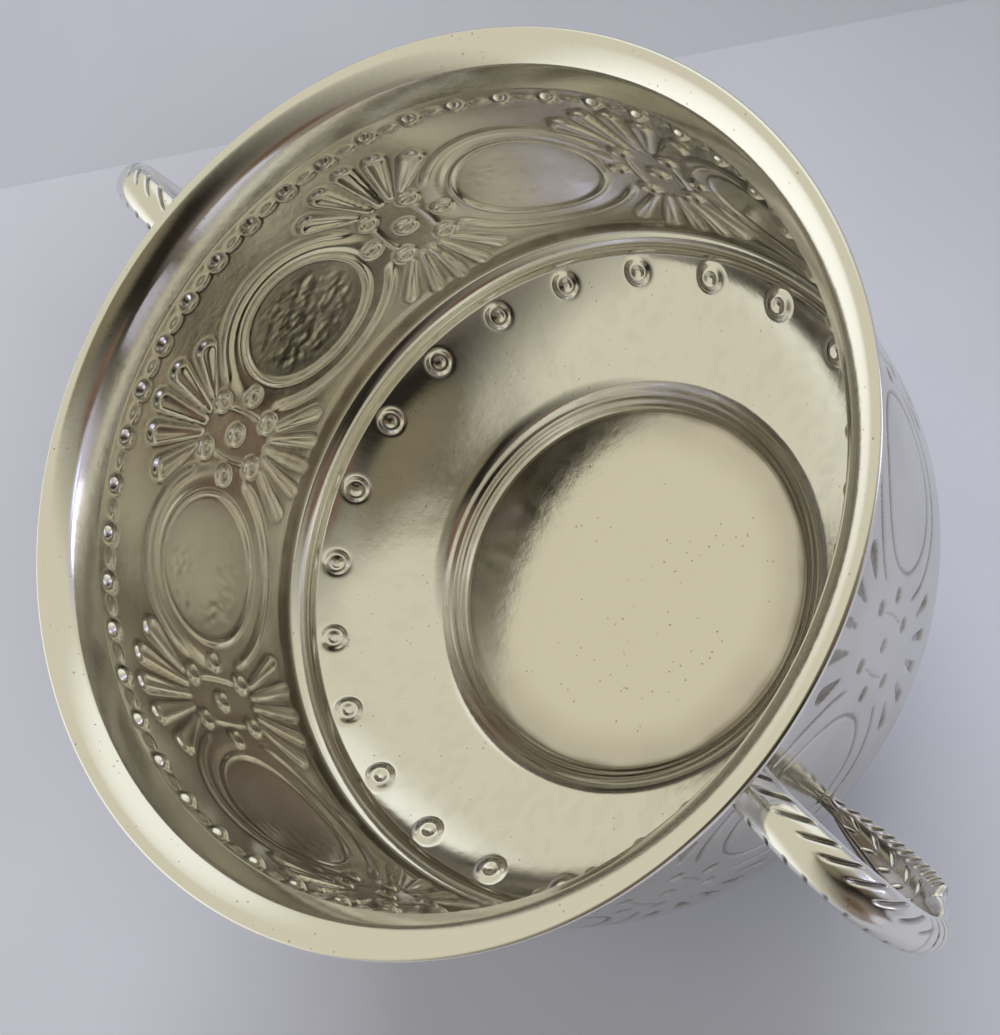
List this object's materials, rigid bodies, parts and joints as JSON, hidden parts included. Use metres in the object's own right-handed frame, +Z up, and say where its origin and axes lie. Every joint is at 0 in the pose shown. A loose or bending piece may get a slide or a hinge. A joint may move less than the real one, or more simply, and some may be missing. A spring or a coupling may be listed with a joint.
{
  "type": "two-handled caudle cup",
  "caption": "Two-handled silver caudle cup: a flared, chased bowl on a low foot ring, with a let-in base and cast scroll handles.",
  "frame": {"origin": "on the cup's axis, on the plane of the table that the foot ring stands on", "axes": "+Z up along the cup's axis; +X through one handle, so that both handles lie on the X axis"},
  "size_m": [0.1204, 0.088, 0.051],
  "materials": {
    "silver": "polished sterling silver, lightly worn",
    "worn_silver": "silver with a fine matt bloom and small pits",
    "cast_silver": "cast and chased silver, dark in the hollows"
  },
  "bodies": {
    "root": {"bowl": "silver", "base_disc": "worn_silver", "foot_ring": "silver", "handle_right": "cast_silver", "handle_left": "cast_silver"}
  },
  "joints": []
}
